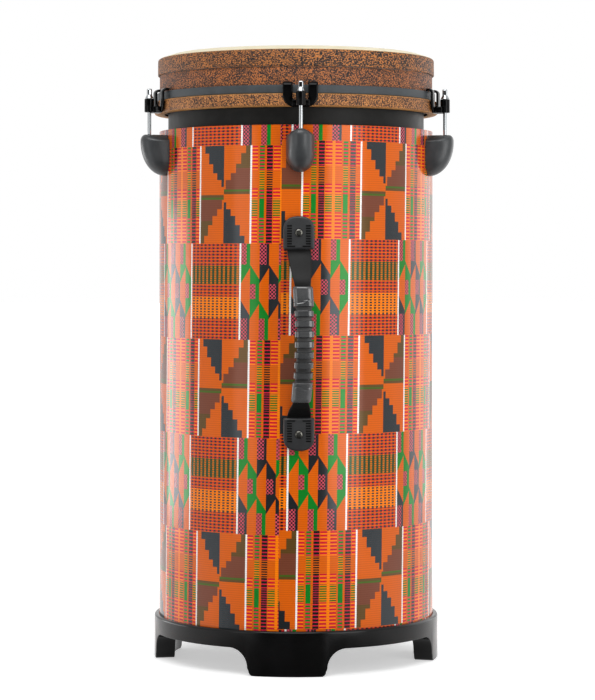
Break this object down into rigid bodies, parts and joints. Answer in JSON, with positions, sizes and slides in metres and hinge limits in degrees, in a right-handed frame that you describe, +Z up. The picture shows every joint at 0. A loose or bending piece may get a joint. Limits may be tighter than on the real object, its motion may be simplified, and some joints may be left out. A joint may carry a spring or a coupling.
{
  "type": "tubano",
  "caption": "Tall tube-shaped hand drum that stands on a footed base, with a rod-tensioned head, a printed shell and a carrying strap.",
  "frame": {"origin": "middle of the outline on the floor, under the shell; the drum's axis is 14.15 mm behind it because the strap stands out at the front", "axes": "+Z up along the shell, -Y out of the front where the strap and a lug are"},
  "size_m": [0.3534, 0.3544, 0.6894],
  "materials": {
    "fibre_tube": "plain wound fibre",
    "printed_film": "printed strip-weave pattern, satin",
    "neck_paint": "black paint, satin",
    "baffle_board": "plain board",
    "port_plastic": "matt",
    "black_plastic": "moulded, satin to gloss",
    "cap_nylon": "moulded, matt",
    "strap_vinyl": "soft vinyl",
    "zinc_steel": "zinc plated",
    "lug_rubber": "satin black",
    "black_zinc": "black plated",
    "cream_film": "coated film",
    "white_ring": "plain",
    "brown_band": "mottled grain",
    "brown_lip": "mottled grain",
    "slate_hoop": "matt slate",
    "black_enamel": "gloss black",
    "chrome": "polished",
    "grip_rubber": "moulded, satin"
  },
  "bodies": {
    "shell": {"shell_tube": "fibre_tube", "printed_wrap": "printed_film", "neck_ring": "neck_paint", "baffle_plate": "baffle_board", "port_tube": "port_plastic", "base_ring": "black_plastic", "handle_cap_upper": "cap_nylon", "handle_cap_lower": "cap_nylon", "handle_strap_upper": "strap_vinyl", "handle_strap_lower": "strap_vinyl", "handle_screw_upper": "zinc_steel", "handle_screw_lower": "zinc_steel", "handle_nut_upper": "zinc_steel", "handle_nut_lower": "zinc_steel", "base_screw_1": "zinc_steel", "base_screw_2": "zinc_steel", "base_screw_3": "zinc_steel", "base_screw_4": "zinc_steel", "lug_1": "lug_rubber", "lug_insert_1": "black_zinc", "lug_bolt_lower_1": "zinc_steel", "lug_bolt_upper_1": "zinc_steel", "lug_2": "lug_rubber", "lug_insert_2": "black_zinc", "lug_bolt_lower_2": "zinc_steel", "lug_bolt_upper_2": "zinc_steel", "lug_3": "lug_rubber", "lug_insert_3": "black_zinc", "lug_bolt_lower_3": "zinc_steel", "lug_bolt_upper_3": "zinc_steel", "lug_4": "lug_rubber", "lug_insert_4": "black_zinc", "lug_bolt_lower_4": "zinc_steel", "lug_bolt_upper_4": "zinc_steel", "lug_5": "lug_rubber", "lug_insert_5": "black_zinc", "lug_bolt_lower_5": "zinc_steel", "lug_bolt_upper_5": "zinc_steel"},
    "head": {"drumhead": "cream_film", "head_ring": "white_ring", "head_wrap_upper": "brown_band", "head_wrap_lower": "brown_band", "flesh_hoop": "brown_lip", "counterhoop": "slate_hoop", "claw_1": "black_enamel", "claw_2": "black_enamel", "claw_3": "black_enamel", "claw_4": "black_enamel", "claw_5": "black_enamel"},
    "rod_1": {"tension_rod_1": "chrome"},
    "rod_2": {"tension_rod_2": "chrome"},
    "rod_3": {"tension_rod_3": "chrome"},
    "rod_4": {"tension_rod_4": "chrome"},
    "rod_5": {"tension_rod_5": "chrome"},
    "grip": {"handle_grip": "grip_rubber"}
  },
  "joints": [
    {"name": "head_lift", "type": "slide", "parent": "shell", "child": "head", "axis": [0, 0, 1], "range_m": [0, 0.006]},
    {"name": "rod_turn_1", "type": "hinge", "parent": "head", "child": "rod_1", "pos_m": [0, -0.16185, 0.6], "axis": [0, 0, 1], "range_deg": [0, 2180]},
    {"name": "rod_turn_2", "type": "hinge", "parent": "head", "child": "rod_2", "pos_m": [0.16739, -0.04024, 0.6], "axis": [0, 0, 1], "range_deg": [0, 2180]},
    {"name": "rod_turn_3", "type": "hinge", "parent": "head", "child": "rod_3", "pos_m": [0.10345, 0.15654, 0.6], "axis": [0, 0, 1], "range_deg": [0, 2180]},
    {"name": "rod_turn_4", "type": "hinge", "parent": "head", "child": "rod_4", "pos_m": [-0.10345, 0.15654, 0.6], "axis": [0, 0, 1], "range_deg": [0, 2180]},
    {"name": "rod_turn_5", "type": "hinge", "parent": "head", "child": "rod_5", "pos_m": [-0.16739, -0.04024, 0.6], "axis": [0, 0, 1], "range_deg": [0, 2180]},
    {"name": "handle_pull", "type": "slide", "parent": "shell", "child": "grip", "axis": [-0.0105, -0.9999, 0], "range_m": [0, 0.01], "stiffness_N_per_m": 150, "deforming": ["handle_strap_upper", "handle_strap_lower"]}
  ],
  "couplings": [
    {"joint": "rod_turn_1", "follows": "head_lift", "rad_per_m": 6283.2},
    {"joint": "rod_turn_2", "follows": "head_lift", "rad_per_m": 6283.2},
    {"joint": "rod_turn_3", "follows": "head_lift", "rad_per_m": 6283.2},
    {"joint": "rod_turn_4", "follows": "head_lift", "rad_per_m": 6283.2},
    {"joint": "rod_turn_5", "follows": "head_lift", "rad_per_m": 6283.2}
  ]
}
